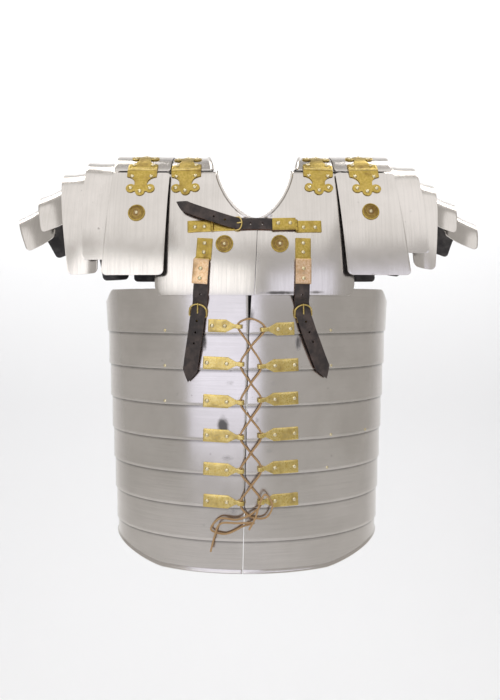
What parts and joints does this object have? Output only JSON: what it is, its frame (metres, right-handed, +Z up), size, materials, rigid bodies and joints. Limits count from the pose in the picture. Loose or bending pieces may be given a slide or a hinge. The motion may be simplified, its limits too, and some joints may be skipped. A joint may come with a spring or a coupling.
{
  "type": "segmented plate armour",
  "caption": "Segmented steel body armour: overlapping girth hoops laced down the front, breast and back plates, and curved shoulder guards on brass hinges, closed with leather straps.",
  "frame": {"origin": "between the shoulders, level with the underside of the collar plates at their highest point, where the armour rests on its wearer", "axes": "+X to the right as seen from the front, -Y forwards, +Z up"},
  "size_m": [0.637, 0.3097, 0.5455],
  "materials": {
    "steel": "satin polished, lightly scuffed",
    "brass": "satin, tarnished in the recesses",
    "leather": "dark grey-brown, smooth, raw edges",
    "lace": "tan round thong, matt"
  },
  "bodies": {
    "root": {"girth_hoop_left_1": "steel", "girth_hoop_left_2": "steel", "girth_hoop_left_3": "steel", "girth_hoop_left_4": "steel", "girth_hoop_left_5": "steel", "girth_hoop_left_6": "steel", "girth_hoop_left_7": "steel", "girth_hoop_left_8": "steel", "tie_hook_left_1": "brass", "tie_hook_left_2": "brass", "tie_hook_left_3": "brass", "tie_hook_left_4": "brass", "tie_hook_left_5": "brass", "tie_hook_left_6": "brass", "breastplate_left": "steel", "collar_plate_left": "steel", "collar_hinge_left": "brass", "upper_guard_front_left": "steel", "upper_guard_top_left": "steel", "lesser_guard_left_1": "steel", "lesser_guard_left_2": "steel", "lesser_guard_left_3": "steel", "lesser_guard_left_4": "steel", "guard_hinge_left": "brass", "girdle_strap_hinge_left": "brass", "girdle_buckle_left": "brass", "girdle_strap_left": "leather", "girth_hoop_right_1": "steel", "girth_hoop_right_2": "steel", "girth_hoop_right_3": "steel", "girth_hoop_right_4": "steel", "girth_hoop_right_5": "steel", "girth_hoop_right_6": "steel", "girth_hoop_right_7": "steel", "girth_hoop_right_8": "steel", "tie_hook_right_1": "brass", "tie_hook_right_2": "brass", "tie_hook_right_3": "brass", "tie_hook_right_4": "brass", "tie_hook_right_5": "brass", "tie_hook_right_6": "brass", "breastplate_right": "steel", "collar_plate_right": "steel", "collar_hinge_right": "brass", "upper_guard_front_right": "steel", "upper_guard_top_right": "steel", "lesser_guard_right_1": "steel", "lesser_guard_right_2": "steel", "lesser_guard_right_3": "steel", "lesser_guard_right_4": "steel", "guard_hinge_right": "brass", "girdle_strap_hinge_right": "brass", "girdle_buckle_right": "brass", "girdle_strap_right": "leather", "breast_strap_buckle": "brass", "breast_strap_hinge": "brass", "breast_strap": "leather", "girdle_lace": "lace"}
  },
  "joints": []
}
